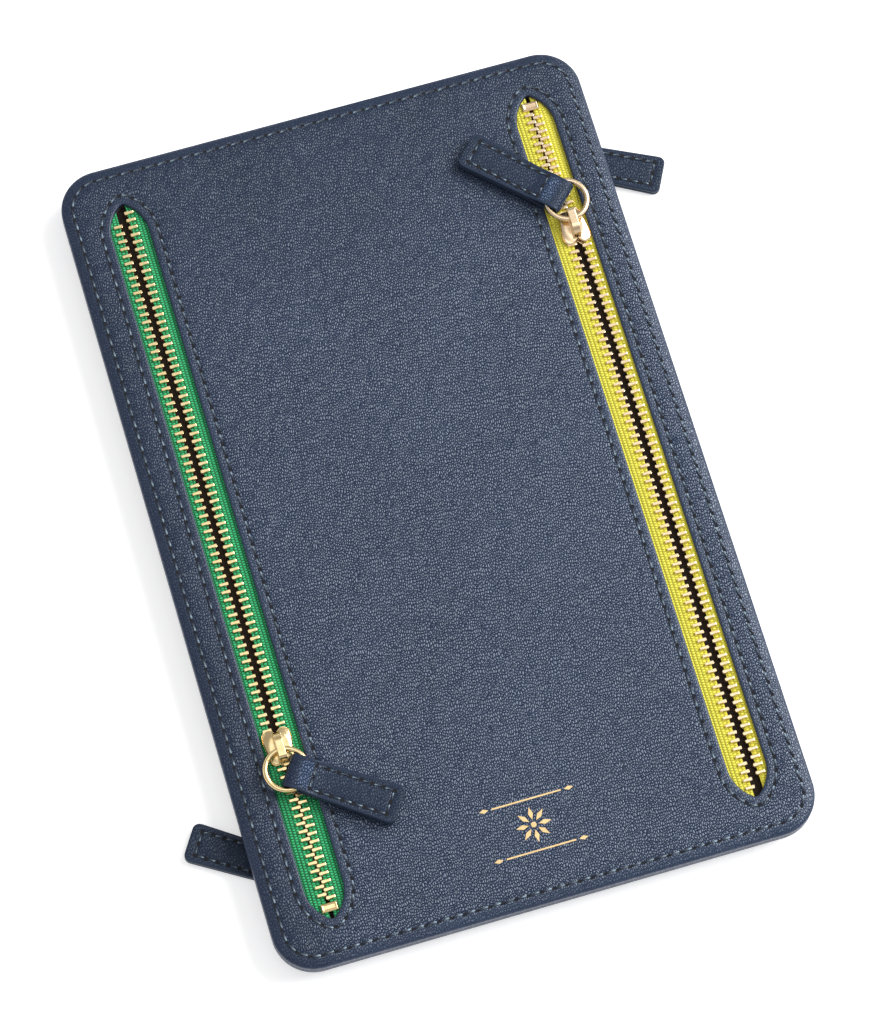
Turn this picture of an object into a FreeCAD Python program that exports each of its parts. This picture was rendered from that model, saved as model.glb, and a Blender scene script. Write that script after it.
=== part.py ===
"""A slim zipped travel wallet lying on its back.

Two zips on the front and two on the back each close a flat pocket. A slider runs on each zip, a
round ring hangs in the slider's bridge and a folded leather tab hangs on the ring. The wallet
rests on the back tabs and bridges.

Millimetres. X runs across the width, Y along the height, Z up. The origin is the middle of the
wallet on the surface that it lies on. Each zip has its own frame: u runs the way the slider moves
to close it, w points out of the leather, and the zip's tape lies at w = 0.
"""
import FreeCAD
import Part
import math
import os

from FreeCAD import Vector

# Wallet body
WIDTH = 140.0
HEIGHT = 218.0
THICKNESS = 7.0
CORNER_RADIUS = 10.5
LEATHER = 1.2
EDGE_DIP = 0.9          # how far each face drops at the sewn edge
EDGE_DIP_WIDTH = 4.0    # over this width
DIVIDER = 0.4
LINING = 0.4
SPACER_WIDTH = 5.0
CUT_MARGIN = 1.0        # how far a cutting solid reaches past what it cuts

# Slots, the same in the leather and in the linings behind it
SLOT_WIDTH = 9.8
SLOT_HALF_LENGTH = 98.2
SLOT_ARCH = 8.8         # length of each pointed end
SLOT_TIP_RADIUS = 1.2

# Zip
PITCH = 2.09            # tooth spacing along one row
TOOTH_THICKNESS = 2.0
TOOTH_OUTER = 2.2       # outer end of a tooth, from the chain's centre line
TOOTH_OVERLAP = 0.22    # how far a head passes the centre line
HEAD_LENGTH = 1.0
HEAD_WIDTH = 1.0
SHANK_WIDTH = 0.78
NECK_WIDTH = 0.62
TAPE_THICKNESS = 0.5
TAPE_INNER = 0.5        # from the chain's centre line to the tape's edge
TAPE_OUTER = 8.0
TAPE_HALF_LENGTH = 102.5
TAPE_CLIP = 3.0         # the outer corners are clipped
TAPE_CLEARANCE = 0.05
SLIT_START = TAPE_INNER - 3 * TAPE_CLEARANCE  # where a tooth's jaws part round the tape
FIRST_TOOTH = -92.7
LAST_TOOTH = 96.0
SLOT_CLEARANCE = 0.12   # between the leather and the last teeth
STOP_FROM = -96.2
STOP_TO = -93.9
STOP_WIDTH = 4.4
STOP_HEIGHT = 2.5
STOP_CHAMFER = 0.35
PARTING = 0.85          # how far each row moves aside where the zip is open

# Slider, with its origin at its middle
SLIDER_LENGTH = 9.4
SLIDER_REAR_HALF = 3.0
SLIDER_FRONT_HALF = 3.7
SLIDER_NOTCH = 1.3      # depth of the notch between the front lobes
SLIDER_REAR_CORNER = 0.8
SLIDER_CHEEK = 1.2      # straight length behind each lobe
PLATE_GAP = 0.1
OVERLAP = 0.05          # how far fused solids reach into each other
OUTER_PLATE = 0.7
PLATE_BEVEL = 0.3
BEVEL_SHRINK = 0.08     # share of its size that the bevelled top loses
INNER_PLATE = 0.6
CHANNEL_REAR_HALF = 2.45
CHANNEL_FRONT_HALF = 3.2
FLANGE_GAP = 0.4        # half the slit that the tape passes through
WEDGE_HALF = 0.45
WEDGE_FROM = 1.0
WEDGE_FULL = 1.9        # the wedge has its full width from here
WEDGE_TO = 3.35
BRIDGE_FROM = -4.2
BRIDGE_TO = 3.2
BRIDGE_WIDTH = 2.0
BRIDGE_ROUND = 1.1      # radius of its rear corner
BRIDGE_FLAT_TO = 0.6
BRIDGE_BROW = 2.35      # a point on the arc that runs down to the front
BRIDGE_BROW_DROP = 0.75
BRIDGE_SINK = 0.2       # how far its feet reach into the plate
EYE = -1.5              # where the ring passes under the bridge
EYE_LENGTH = 2.2
EYE_CLEARANCE = 0.15

# Ring and tab
RING_RADIUS = 5.3
WIRE_RADIUS = 0.7
LOOP_HALF = 1.7         # half the thickness of the tab where it wraps the ring
TAB_THICKNESS = 2.6
TAB_LENGTH = 29.8
TAB_NEAR_WIDTH = 8.6
TAB_FAR_WIDTH = 10.3
TAB_CORNER = 1.8
TAB_SLOPE_FROM = 6.0    # the loop's top slopes down to the body between these
TAB_SLOPE_TO = 9.4
TAB_HOLE_FROM = 1.15
TAB_HOLE_MARGIN = 0.25
RING_CLEARANCE = 0.1

# Foil ornament
FOIL_CENTRE = Vector(0, -89.4, 0)
FOIL_THICKNESS = 0.05
PETALS = 8
PETAL = ((1.3, 0), (2.8, 0.62), (4.6, 0), (2.8, -0.62))  # along and across a petal
DOT_RADIUS = 0.7
RULE_OFFSET = 6.6
RULE_HALF_LENGTH = 9.0
RULE_HALF_WIDTH = 0.2
LOZENGE_CENTRE = 11.0
LOZENGE_HALF_LENGTH = 1.2
LOZENGE_HALF_WIDTH = 0.55

# Heights
TAPE_DEPTH = LEATHER + TAPE_THICKNESS / 2
PLATE_INNER_FACE = TOOTH_THICKNESS / 2 + PLATE_GAP
PLATE_TOP = PLATE_INNER_FACE + OUTER_PLATE
PULL_GAP = 0.1          # between the outer plate and the tab's loop
RING_LEVEL = PLATE_TOP + PULL_GAP + LOOP_HALF
PULL_TOP = RING_LEVEL + LOOP_HALF
BACK_FACE = PULL_TOP - TAPE_DEPTH
FRONT_FACE = BACK_FACE + THICKNESS
MIDDLE = BACK_FACE + THICKNESS / 2

# name: x, side (+1 front, -1 back), closing direction, slider's u, chain's shift, tab's angle
ZIPS = {
    "front_left": (-54.35, 1, 1, -52.4, -0.7, -34.8),
    "front_right": (55.4, 1, -1, -59.6, 1.0, 135.3),
    "back_left": (-57.9, -1, -1, 90.4, 0.0, 147.0),
    "back_right": (57.9, -1, 1, 90.4, 0.0, -27.5),
}
# The chain shifts sideways over this stretch below the slider, and parts inside it
SHIFT_FROM = -14.0
SHIFT_TO = -5.0
PART_FROM = -1.6
PART_TO = 1.4
FIXED_BACK_TEETH = -86.0  # back rows stay put below this and move above it


def save(name, solids):
    """Write one sub-part."""
    shape = Part.makeCompound(solids) if len(solids) > 1 else solids[0]
    shape.exportStep("parts/" + name + ".step")


def prism(points, bottom, top):
    """A closed outline in XY between two heights."""
    corners = [Vector(x, y, bottom) for x, y in points]
    face = Part.Face(Part.makePolygon(corners + corners[:1]))
    return face.extrude(Vector(0, 0, top - bottom))


def rounded_rectangle(width, height, radius, z):
    """A wire with round corners about the Z axis."""
    x = width / 2
    y = height / 2
    edges = []
    for sx, sy in ((1, -1), (1, 1), (-1, 1), (-1, -1)):
        middle = Vector(sx * (x - radius), sy * (y - radius), z)
        bow = radius * math.sqrt(0.5)
        ends = [middle + Vector(sx * radius, 0, 0), middle + Vector(0, sy * radius, 0)]
        if sx * sy > 0:
            start, end = ends
        else:
            end, start = ends
        edges.append((start, middle + Vector(sx * bow, sy * bow, 0), end))
    parts = []
    for index, (start, through, end) in enumerate(edges):
        parts.append(Part.Arc(start, through, end).toShape())
        following = edges[(index + 1) % len(edges)][0]
        parts.append(Part.makeLine(end, following))
    return Part.Wire(parts)


def plate(width, height, radius, bottom, top):
    """A flat plate with round corners."""
    face = Part.Face(rounded_rectangle(width, height, radius, bottom))
    return face.extrude(Vector(0, 0, top - bottom))


def slot_cutter(x):
    """A long slot with pointed arches at both ends, each with a small round tip."""
    half_width = SLOT_WIDTH / 2
    flank = (half_width ** 2 + SLOT_ARCH ** 2) / (2 * half_width)
    offset = flank - half_width
    shoulder = SLOT_HALF_LENGTH - SLOT_ARCH
    rise = math.sqrt((flank - SLOT_TIP_RADIUS) ** 2 - offset ** 2)
    reach = flank / (flank - SLOT_TIP_RADIUS)
    join_half = offset * reach - offset
    join_rise = rise * reach
    bend = math.atan2(join_rise, offset + join_half) / 2
    near_half = flank * math.cos(bend) - offset
    near_rise = flank * math.sin(bend)
    edges = []
    for end in (1, -1):

        def at(across, along):
            return Vector(x + end * across, end * (shoulder + along), 0)

        edges.append(Part.Arc(
            at(half_width, 0), at(near_half, near_rise), at(join_half, join_rise)).toShape())
        edges.append(Part.Arc(
            at(join_half, join_rise), at(0, rise + SLOT_TIP_RADIUS),
            at(-join_half, join_rise)).toShape())
        edges.append(Part.Arc(
            at(-join_half, join_rise), at(-near_half, near_rise), at(-half_width, 0)).toShape())
        edges.append(Part.makeLine(at(-half_width, 0), at(-half_width, -2 * shoulder)))
    return Part.Face(Part.Wire(edges)).extrude(Vector(0, 0, FRONT_FACE + CUT_MARGIN))


def dished(depth_from_face, side):
    """The solid below one face of the wallet, less a depth, with the face's sloping rim."""
    face = FRONT_FACE if side > 0 else BACK_FACE
    flat = face - side * depth_from_face
    rim = flat - side * EDGE_DIP
    low = rounded_rectangle(WIDTH, HEIGHT, CORNER_RADIUS, rim)
    inset = 2 * EDGE_DIP_WIDTH
    high = rounded_rectangle(
        WIDTH - inset, HEIGHT - inset, CORNER_RADIUS - EDGE_DIP_WIDTH, flat)
    crown = Part.makeLoft([low, high], True, True)
    base = Part.Face(low).extrude(Vector(0, 0, -side * (LEATHER + CUT_MARGIN)))
    return crown.fuse(base)


def panel(side):
    """A leather face panel with its two slots."""
    shape = dished(0.0, side).cut(dished(LEATHER, side))
    return cut_slots(shape, side).removeSplitter()


def cut_slots(shape, side):
    """Cut both of one face's slots through a layer."""
    for x, zip_side, *_ in ZIPS.values():
        if zip_side == side:
            shape = shape.cut(slot_cutter(x))
    return shape


def layer(side, far_from_middle, thickness):
    """The low and high Z of a flat layer, measured from the middle of the wallet."""
    a = MIDDLE + side * far_from_middle
    b = MIDDLE + side * (far_from_middle - thickness)
    return min(a, b), max(a, b)


def make_body():
    inner_face = THICKNESS / 2 - EDGE_DIP - LEATHER
    for side, name in ((1, "front"), (-1, "back")):
        save(name + "_panel", [panel(side)])
        low, high = layer(side, inner_face, LINING)
        lining = plate(WIDTH, HEIGHT, CORNER_RADIUS, low, high)
        save(name + "_lining", [cut_slots(lining, side)])
        low, high = layer(side, inner_face - LINING, inner_face - LINING - DIVIDER / 2)
        ring = plate(WIDTH, HEIGHT, CORNER_RADIUS, low, high)
        inside = 2 * SPACER_WIDTH
        hole = plate(
            WIDTH - inside, HEIGHT - inside, CORNER_RADIUS - SPACER_WIDTH,
            low - CUT_MARGIN, high + CUT_MARGIN)
        save(name + "_spacer", [ring.cut(hole)])
    low = MIDDLE - DIVIDER / 2
    save("centre_divider", [plate(WIDTH, HEIGHT, CORNER_RADIUS, low, low + DIVIDER)])


def make_foil():
    """A generic ornament: an eight-petal rosette between two rules with lozenge ends."""
    top = FRONT_FACE + FOIL_THICKNESS
    solids = []
    for petal in range(PETALS):
        turn = 2 * math.pi * petal / PETALS
        outline = []
        for along, across in PETAL:
            x = along * math.cos(turn) - across * math.sin(turn)
            y = along * math.sin(turn) + across * math.cos(turn)
            outline.append((FOIL_CENTRE.x + x, FOIL_CENTRE.y + y))
        solids.append(prism(outline, FRONT_FACE, top))
    middle = Vector(FOIL_CENTRE.x, FOIL_CENTRE.y, FRONT_FACE)
    solids.append(Part.makeCylinder(DOT_RADIUS, FOIL_THICKNESS, middle))
    for y in (FOIL_CENTRE.y - RULE_OFFSET, FOIL_CENTRE.y + RULE_OFFSET):
        low = y - RULE_HALF_WIDTH
        high = y + RULE_HALF_WIDTH
        solids.append(prism([
            (-RULE_HALF_LENGTH, low), (RULE_HALF_LENGTH, low),
            (RULE_HALF_LENGTH, high), (-RULE_HALF_LENGTH, high)], FRONT_FACE, top))
        for end in (-1, 1):
            x = end * LOZENGE_CENTRE
            solids.append(prism([
                (x - LOZENGE_HALF_LENGTH, y), (x, y - LOZENGE_HALF_WIDTH),
                (x + LOZENGE_HALF_LENGTH, y), (x, y + LOZENGE_HALF_WIDTH)], FRONT_FACE, top))
    save("foil_ornament", solids)


def tape_height(side):
    """The Z of the tapes' middle plane on the front (side = 1) or the back (side = -1)."""
    return FRONT_FACE - TAPE_DEPTH if side > 0 else BACK_FACE + TAPE_DEPTH


def ramp(value, start, end):
    """0 before start, 1 after end, and a straight line between."""
    return min(1.0, max(0.0, (value - start) / (end - start)))


def chain_shift(u, slider_u, shift):
    """Sideways shift of the chain's centre line, towards the slider's place."""
    return shift * ramp(u, slider_u + SHIFT_FROM, slider_u + SHIFT_TO)


def row_parting(u, slider_u):
    return PARTING * ramp(u, slider_u + PART_FROM, slider_u + PART_TO)


def tooth(row):
    """One tooth of the row on the +X (row = 1) or -X (row = -1) side, clamped round its tape."""
    half_head = HEAD_WIDTH / 2
    half_neck = NECK_WIDTH / 2
    half_shank = SHANK_WIDTH / 2
    head_end = HEAD_LENGTH - TOOTH_OVERLAP
    outline = [
        (-TOOTH_OVERLAP, -half_neck), (0.0, -half_head), (head_end - 0.2, -half_head),
        (head_end + 0.1, -half_shank), (TOOTH_OUTER, -half_shank),
        (TOOTH_OUTER, half_shank), (head_end + 0.1, half_shank), (head_end - 0.2, half_head),
        (0.0, half_head), (-TOOTH_OVERLAP, half_neck),
    ]
    points = [(row * x, y) for x, y in outline]
    half = TOOTH_THICKNESS / 2
    body = prism(points, -half, half)
    return body.cut(tape_slit(row, SLIT_START, PITCH))


def tape_slit(row, start, length):
    """The cutter for the slit that a tooth or stop grips its tape in, about the tape's plane."""
    mouth = TAPE_THICKNESS / 2 + TAPE_CLEARANCE
    reach = TOOTH_OUTER + CUT_MARGIN
    slit = Part.makeBox(reach, length, 2 * mouth, Vector(start, -length / 2, -mouth))
    if row < 0:
        slit = slit.mirror(Vector(0, 0, 0), Vector(1, 0, 0))
    return slit


def slider_outline():
    """A heart-shaped plate: straight rear, two round lobes and a notch at the front."""
    half = SLIDER_LENGTH / 2
    lobe = SLIDER_FRONT_HALF / 2
    front = half - lobe
    diagonal = lobe * math.sqrt(0.5)
    corner = SLIDER_REAR_CORNER
    right = [
        Vector(SLIDER_REAR_HALF - corner, -half, 0),
        Vector(SLIDER_REAR_HALF, corner - half, 0),
        Vector(SLIDER_FRONT_HALF, front - SLIDER_CHEEK, 0),
        Vector(SLIDER_FRONT_HALF, front, 0),
        Vector(lobe + diagonal, front + diagonal, 0),
        Vector(lobe, half, 0),
        Vector(lobe * 0.42, half - SLIDER_NOTCH * 0.35, 0),
    ]
    left = [Vector(-p.x, p.y, 0) for p in right]
    notch = Vector(0, half - SLIDER_NOTCH, 0)
    edges = [Part.makeLine(left[0], right[0])]
    for index in range(3):
        edges.append(Part.makeLine(right[index], right[index + 1]))
    edges.append(Part.Arc(right[3], right[4], right[5]).toShape())
    edges.append(Part.Arc(right[5], right[6], notch).toShape())
    edges.append(Part.Arc(notch, left[6], left[5]).toShape())
    edges.append(Part.Arc(left[5], left[4], left[3]).toShape())
    for index in (3, 2, 1):
        edges.append(Part.makeLine(left[index], left[index - 1]))
    return Part.Face(Part.Wire(edges))


def bevelled_top(outline, bottom, top):
    """The topmost part of the outer plate, drawn in a little towards its top."""
    low = outline.OuterWire.copy()
    low.translate(Vector(0, 0, bottom))
    grow = FreeCAD.Matrix()
    grow.scale(1 - BEVEL_SHRINK, 1 - BEVEL_SHRINK * 0.8, 1)
    high = outline.OuterWire.transformGeometry(grow)
    high.translate(Vector(0, 0, top))
    return Part.makeLoft([low, high], True, True)


def make_slider():
    """The slider in its zip's frame, with its middle at u = 0 and the tape at w = 0."""
    outline = slider_outline()
    outer = outline.copy()
    outer.translate(Vector(0, 0, FLANGE_GAP))
    outer = outer.extrude(Vector(0, 0, PLATE_TOP - PLATE_BEVEL - FLANGE_GAP))
    outer = outer.fuse(bevelled_top(outline, PLATE_TOP - PLATE_BEVEL, PLATE_TOP))
    inner = outline.copy()
    inner_bottom = -PLATE_INNER_FACE - INNER_PLATE
    inner.translate(Vector(0, 0, inner_bottom))
    inner = inner.extrude(Vector(0, 0, -FLANGE_GAP - inner_bottom))
    channel = prism([
        (-CHANNEL_REAR_HALF, -SLIDER_LENGTH), (CHANNEL_REAR_HALF, -SLIDER_LENGTH),
        (CHANNEL_REAR_HALF, PART_FROM), (CHANNEL_FRONT_HALF, PART_TO),
        (CHANNEL_FRONT_HALF, SLIDER_LENGTH), (-CHANNEL_FRONT_HALF, SLIDER_LENGTH),
        (-CHANNEL_FRONT_HALF, PART_TO), (-CHANNEL_REAR_HALF, PART_FROM)],
        -PLATE_INNER_FACE, PLATE_INNER_FACE)
    body = outer.fuse(inner).cut(channel)
    wedge_reach = PLATE_INNER_FACE + OVERLAP
    wedge = prism([
        (0, WEDGE_FROM), (WEDGE_HALF, WEDGE_FULL), (WEDGE_HALF, WEDGE_TO),
        (-WEDGE_HALF, WEDGE_TO), (-WEDGE_HALF, WEDGE_FULL)], -wedge_reach, wedge_reach)
    body = body.fuse(wedge)
    return body.fuse(make_bridge()).removeSplitter()


def make_bridge():
    """The arched strap over the outer plate that the ring hangs in."""
    base = PLATE_TOP - BRIDGE_SINK
    top = PULL_TOP
    half = BRIDGE_WIDTH / 2

    def at(u, w):
        return Vector(-half, u, w)

    knee = BRIDGE_FROM + BRIDGE_ROUND
    bow = BRIDGE_ROUND * math.sqrt(0.5)
    edges = [
        Part.makeLine(at(BRIDGE_TO, base), at(BRIDGE_FROM, base)),
        Part.makeLine(at(BRIDGE_FROM, base), at(BRIDGE_FROM, top - BRIDGE_ROUND)),
        Part.Arc(at(BRIDGE_FROM, top - BRIDGE_ROUND), at(knee - bow, top - BRIDGE_ROUND + bow),
                 at(knee, top)).toShape(),
        Part.makeLine(at(knee, top), at(BRIDGE_FLAT_TO, top)),
        Part.Arc(at(BRIDGE_FLAT_TO, top), at(BRIDGE_BROW, top - BRIDGE_BROW_DROP),
                 at(BRIDGE_TO, base)).toShape(),
    ]
    strap = Part.Face(Part.Wire(edges)).extrude(Vector(BRIDGE_WIDTH, 0, 0))
    radius = WIRE_RADIUS + EYE_CLEARANCE
    opening = round_slot(EYE, EYE + EYE_LENGTH, radius, BRIDGE_WIDTH + 2 * CUT_MARGIN)
    opening.rotate(Vector(0, 0, 0), Vector(0, 0, 1), 90)
    opening.translate(Vector(0, 0, RING_LEVEL))
    return strap.cut(opening)


def round_slot(start, end, radius, width):
    """A slot along X with round ends, centred on Z = 0, that runs through along Y."""
    near = Vector(start, -width / 2, 0)
    slot = Part.makeBox(end - start, width, 2 * radius, near - Vector(0, 0, radius))
    for x in (start, end):
        slot = slot.fuse(Part.makeCylinder(
            radius, width, Vector(x, -width / 2, 0), Vector(0, 1, 0)))
    return slot


def make_ring():
    """The ring, with its centre at the origin."""
    return Part.makeTorus(RING_RADIUS, WIRE_RADIUS)


def make_tab():
    """The tab along +X from the ring's centre, flat underneath, with its loop round the wire."""
    near = TAB_NEAR_WIDTH / 2
    far = TAB_FAR_WIDTH / 2
    outline = [
        Vector(0, -near, -LOOP_HALF), Vector(TAB_LENGTH, -far, -LOOP_HALF),
        Vector(TAB_LENGTH, far, -LOOP_HALF), Vector(0, near, -LOOP_HALF)]
    face = Part.Face(Part.makePolygon(outline + outline[:1]))
    blank = face.extrude(Vector(0, 0, 2 * LOOP_HALF))
    corners = []
    for edge in blank.Edges:
        centre = edge.CenterOfMass
        if abs(centre.x - TAB_LENGTH) < 0.01 and abs(abs(centre.y) - far) < 0.01:
            corners.append(edge)
    blank = blank.makeFillet(TAB_CORNER, corners)
    body_top = TAB_THICKNESS - LOOP_HALF
    side = [
        (0.0, -0.55), (0.55, -LOOP_HALF), (TAB_LENGTH, -LOOP_HALF), (TAB_LENGTH, body_top),
        (TAB_SLOPE_TO, body_top), (TAB_SLOPE_FROM, LOOP_HALF), (0.8, LOOP_HALF), (0.0, 0.85)]
    corners = [Vector(x, -TAB_FAR_WIDTH, z) for x, z in side]
    profile = Part.Face(Part.makePolygon(corners + corners[:1]))
    shape = blank.common(profile.extrude(Vector(0, 2 * TAB_FAR_WIDTH, 0)))
    radius = WIRE_RADIUS + RING_CLEARANCE
    hole_to = RING_RADIUS + WIRE_RADIUS + TAB_HOLE_MARGIN
    hole = round_slot(TAB_HOLE_FROM + radius, hole_to - radius, radius, 2 * TAB_FAR_WIDTH)
    return shape.cut(hole)


def place(shape, x, side, closing, u, w):
    """Move a shape from its zip's frame into the wallet's."""
    moved = shape.copy()
    if closing < 0:
        moved.rotate(Vector(0, 0, 0), Vector(0, 0, 1), 180)
    if side < 0:
        moved = moved.mirror(Vector(0, 0, 0), Vector(0, 0, 1))
    moved.translate(Vector(x, closing * u, tape_height(side) + side * w))
    return moved


def make_tape(x, side, closing, slider_u, shift, row):
    """One tape: a straight outer edge, and an inner edge that follows its row of teeth."""
    stops = [-TAPE_HALF_LENGTH, slider_u + SHIFT_FROM, slider_u + SHIFT_TO,
             slider_u + PART_FROM, slider_u + PART_TO, TAPE_HALF_LENGTH]
    inner = []
    for u in stops:
        across = chain_shift(u, slider_u, shift) + row * row_parting(u, slider_u)
        inner.append((x + across + row * TAPE_INNER, closing * u))
    outer_x = x + row * TAPE_OUTER
    end = closing * TAPE_HALF_LENGTH
    clipped = closing * (TAPE_HALF_LENGTH - TAPE_CLIP)
    clip_x = outer_x - row * TAPE_CLIP
    points = inner + [(clip_x, end), (outer_x, clipped), (outer_x, -clipped), (clip_x, -end)]
    middle = tape_height(side)
    return prism(points, middle - TAPE_THICKNESS / 2, middle + TAPE_THICKNESS / 2)


def slot_half_at(u):
    """Half the slot's width at one place along it."""
    half = SLOT_WIDTH / 2
    along = max(0.0, abs(u) - (SLOT_HALF_LENGTH - SLOT_ARCH))
    flank = (half ** 2 + SLOT_ARCH ** 2) / (2 * half)
    return math.sqrt(flank ** 2 - along ** 2) - (flank - half)


def make_teeth(x, side, closing, slider_u, shift, row):
    """The teeth of one row, in two lists: those that stay put and those that move aside."""
    middle = tape_height(side)
    pattern = tooth(row)
    fixed = []
    moving = []
    u = FIRST_TOOTH if row * closing > 0 else FIRST_TOOTH + PITCH / 2
    moves_from = slider_u + PART_TO if side > 0 else FIXED_BACK_TEETH
    while u < LAST_TOOTH:
        across = chain_shift(u, slider_u, shift) + row * row_parting(u, slider_u)
        outer_end = abs(across + row * TOOTH_OUTER) + SLOT_CLEARANCE
        if u > 0 and outer_end > slot_half_at(u + SHANK_WIDTH / 2):
            break
        copy = pattern.copy()
        copy.translate(Vector(x + across, closing * u, middle))
        if u > moves_from:
            moving.append(copy)
        else:
            fixed.append(copy)
        u += PITCH
    return fixed, moving


def make_box_stop():
    """The metal stop that holds both tapes together, slit on each side for them."""
    length = STOP_TO - STOP_FROM
    half = STOP_WIDTH / 2
    tall = STOP_HEIGHT / 2
    block = Part.makeBox(STOP_WIDTH, length, STOP_HEIGHT, Vector(-half, STOP_FROM, -tall))
    upper = [e for e in block.Edges if e.BoundBox.ZMin > tall - 0.01]
    block = block.makeChamfer(STOP_CHAMFER, upper)
    for row in (1, -1):
        slit = tape_slit(row, SLIT_START, length + 2 * CUT_MARGIN)
        slit.translate(Vector(0, (STOP_FROM + STOP_TO) / 2, 0))
        block = block.cut(slit)
    return block


def make_zip(name, x, side, closing, slider_u, shift, tab_angle):
    for row, row_name in ((-1, "left"), (1, "right")):
        tape = make_tape(x, side, closing, slider_u, shift, row)
        save(name + "_tape_" + row_name, [tape])
        fixed, moving = make_teeth(x, side, closing, slider_u, shift, row)
        save(name + "_teeth_" + row_name + "_meshed", fixed)
        save(name + "_teeth_" + row_name + "_parting", moving)
    save(name + "_box_stop", [place(make_box_stop(), x, side, closing, 0, 0)])
    slider_x = x + shift
    save(name + "_slider", [place(make_slider(), slider_x, side, closing, slider_u, 0)])
    ring_u = slider_u + EYE - RING_RADIUS
    save(name + "_ring", [place(make_ring(), slider_x, side, closing, ring_u, RING_LEVEL)])
    tab = make_tab()
    tab.rotate(Vector(0, 0, 0), Vector(0, 0, 1), tab_angle)
    ring_z = tape_height(side) + side * RING_LEVEL
    tab.translate(Vector(slider_x, closing * ring_u, ring_z))
    save(name + "_tab", [tab])


os.makedirs("parts", exist_ok=True)
make_body()
make_foil()
for zip_name, values in ZIPS.items():
    make_zip(zip_name, *values)
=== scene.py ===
import math

import bpy
import numpy as np
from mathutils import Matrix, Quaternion, Vector, geometry


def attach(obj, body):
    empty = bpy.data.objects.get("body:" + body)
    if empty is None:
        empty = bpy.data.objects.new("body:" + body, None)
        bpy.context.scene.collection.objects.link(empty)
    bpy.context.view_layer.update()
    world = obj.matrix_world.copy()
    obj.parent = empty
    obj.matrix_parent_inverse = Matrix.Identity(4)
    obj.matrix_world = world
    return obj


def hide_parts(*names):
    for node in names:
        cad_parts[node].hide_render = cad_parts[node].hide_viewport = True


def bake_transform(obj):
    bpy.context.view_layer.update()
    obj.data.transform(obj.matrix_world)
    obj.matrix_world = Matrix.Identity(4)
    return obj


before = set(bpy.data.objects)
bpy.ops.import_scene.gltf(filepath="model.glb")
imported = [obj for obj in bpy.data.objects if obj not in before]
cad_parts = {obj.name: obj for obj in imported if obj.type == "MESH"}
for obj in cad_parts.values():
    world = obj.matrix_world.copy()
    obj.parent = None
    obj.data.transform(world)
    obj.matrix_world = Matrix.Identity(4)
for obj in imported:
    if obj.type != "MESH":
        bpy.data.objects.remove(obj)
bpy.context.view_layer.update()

MM = 0.001

# ---------------------------------------------------------------- sizes, in mm
HALF_WIDTH = 70.0
HALF_HEIGHT = 109.0
CORNER = 10.5
FRONT_FACE = 10.85
BACK_FACE = 3.85
LEATHER = 1.2
EDGE_DROP = 0.9
EDGE_DROP_WIDTH = 4.4
SLOT_HALF = 4.9
SHOULDER = 89.4
ARCH = 8.8
TIP_RADIUS = 1.2
TAPE_DEPTH = 1.45
RIM_STITCH = 2.9
SLOT_STITCH = 2.4
RIM_PITCH = 3.3
SLOT_PITCH = 3.45
TAB_PITCH = 2.95
PARTING = 0.85
PULL_LEVEL = 3.6
PULL_BACK = 6.8  # from the slider's middle back to the ring's centre
RING_RADIUS = 5.3
WIRE_RADIUS = 0.7
TAB_LENGTH = 29.8
TAB_UNDER = -1.7  # a tab's lowest level, from the ring's centre
STOP_MIDDLE = -95.05  # the box stop's middle along its zip
TAPE_END = 102.5  # the tapes' ends, from the middle
TAPE_REACH = 8.0  # from the chain's line to a tape's outer edge
TAPE_CLIP = 3.0  # how much is cut off a tape's outer corners
PARTS = (-1.6, 1.4)  # where the rows part, from the slider's middle
FOIL_MIDDLE = -89.4  # along Y, the middle of the flat patch under the foil ornament
RING_STEP = 0.55  # between the points of the leather's rings
WELD = 0.002
VOXEL = 0.08
TOOTH_BEVEL = 0.14

# name: x, side, closing direction, slider's u, chain's shift, tab's angle, tape colour
ZIPS = {
    "front_left": (-54.35, 1, 1, -52.4, -0.7, -34.8, "green"),
    "front_right": (55.4, 1, -1, -59.6, 1.0, 135.3, "yellow"),
    "back_left": (-57.9, -1, -1, 90.4, 0.0, 147.0, "yellow"),
    "back_right": (57.9, -1, 1, 90.4, 0.0, -27.5, "green"),
}


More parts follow.
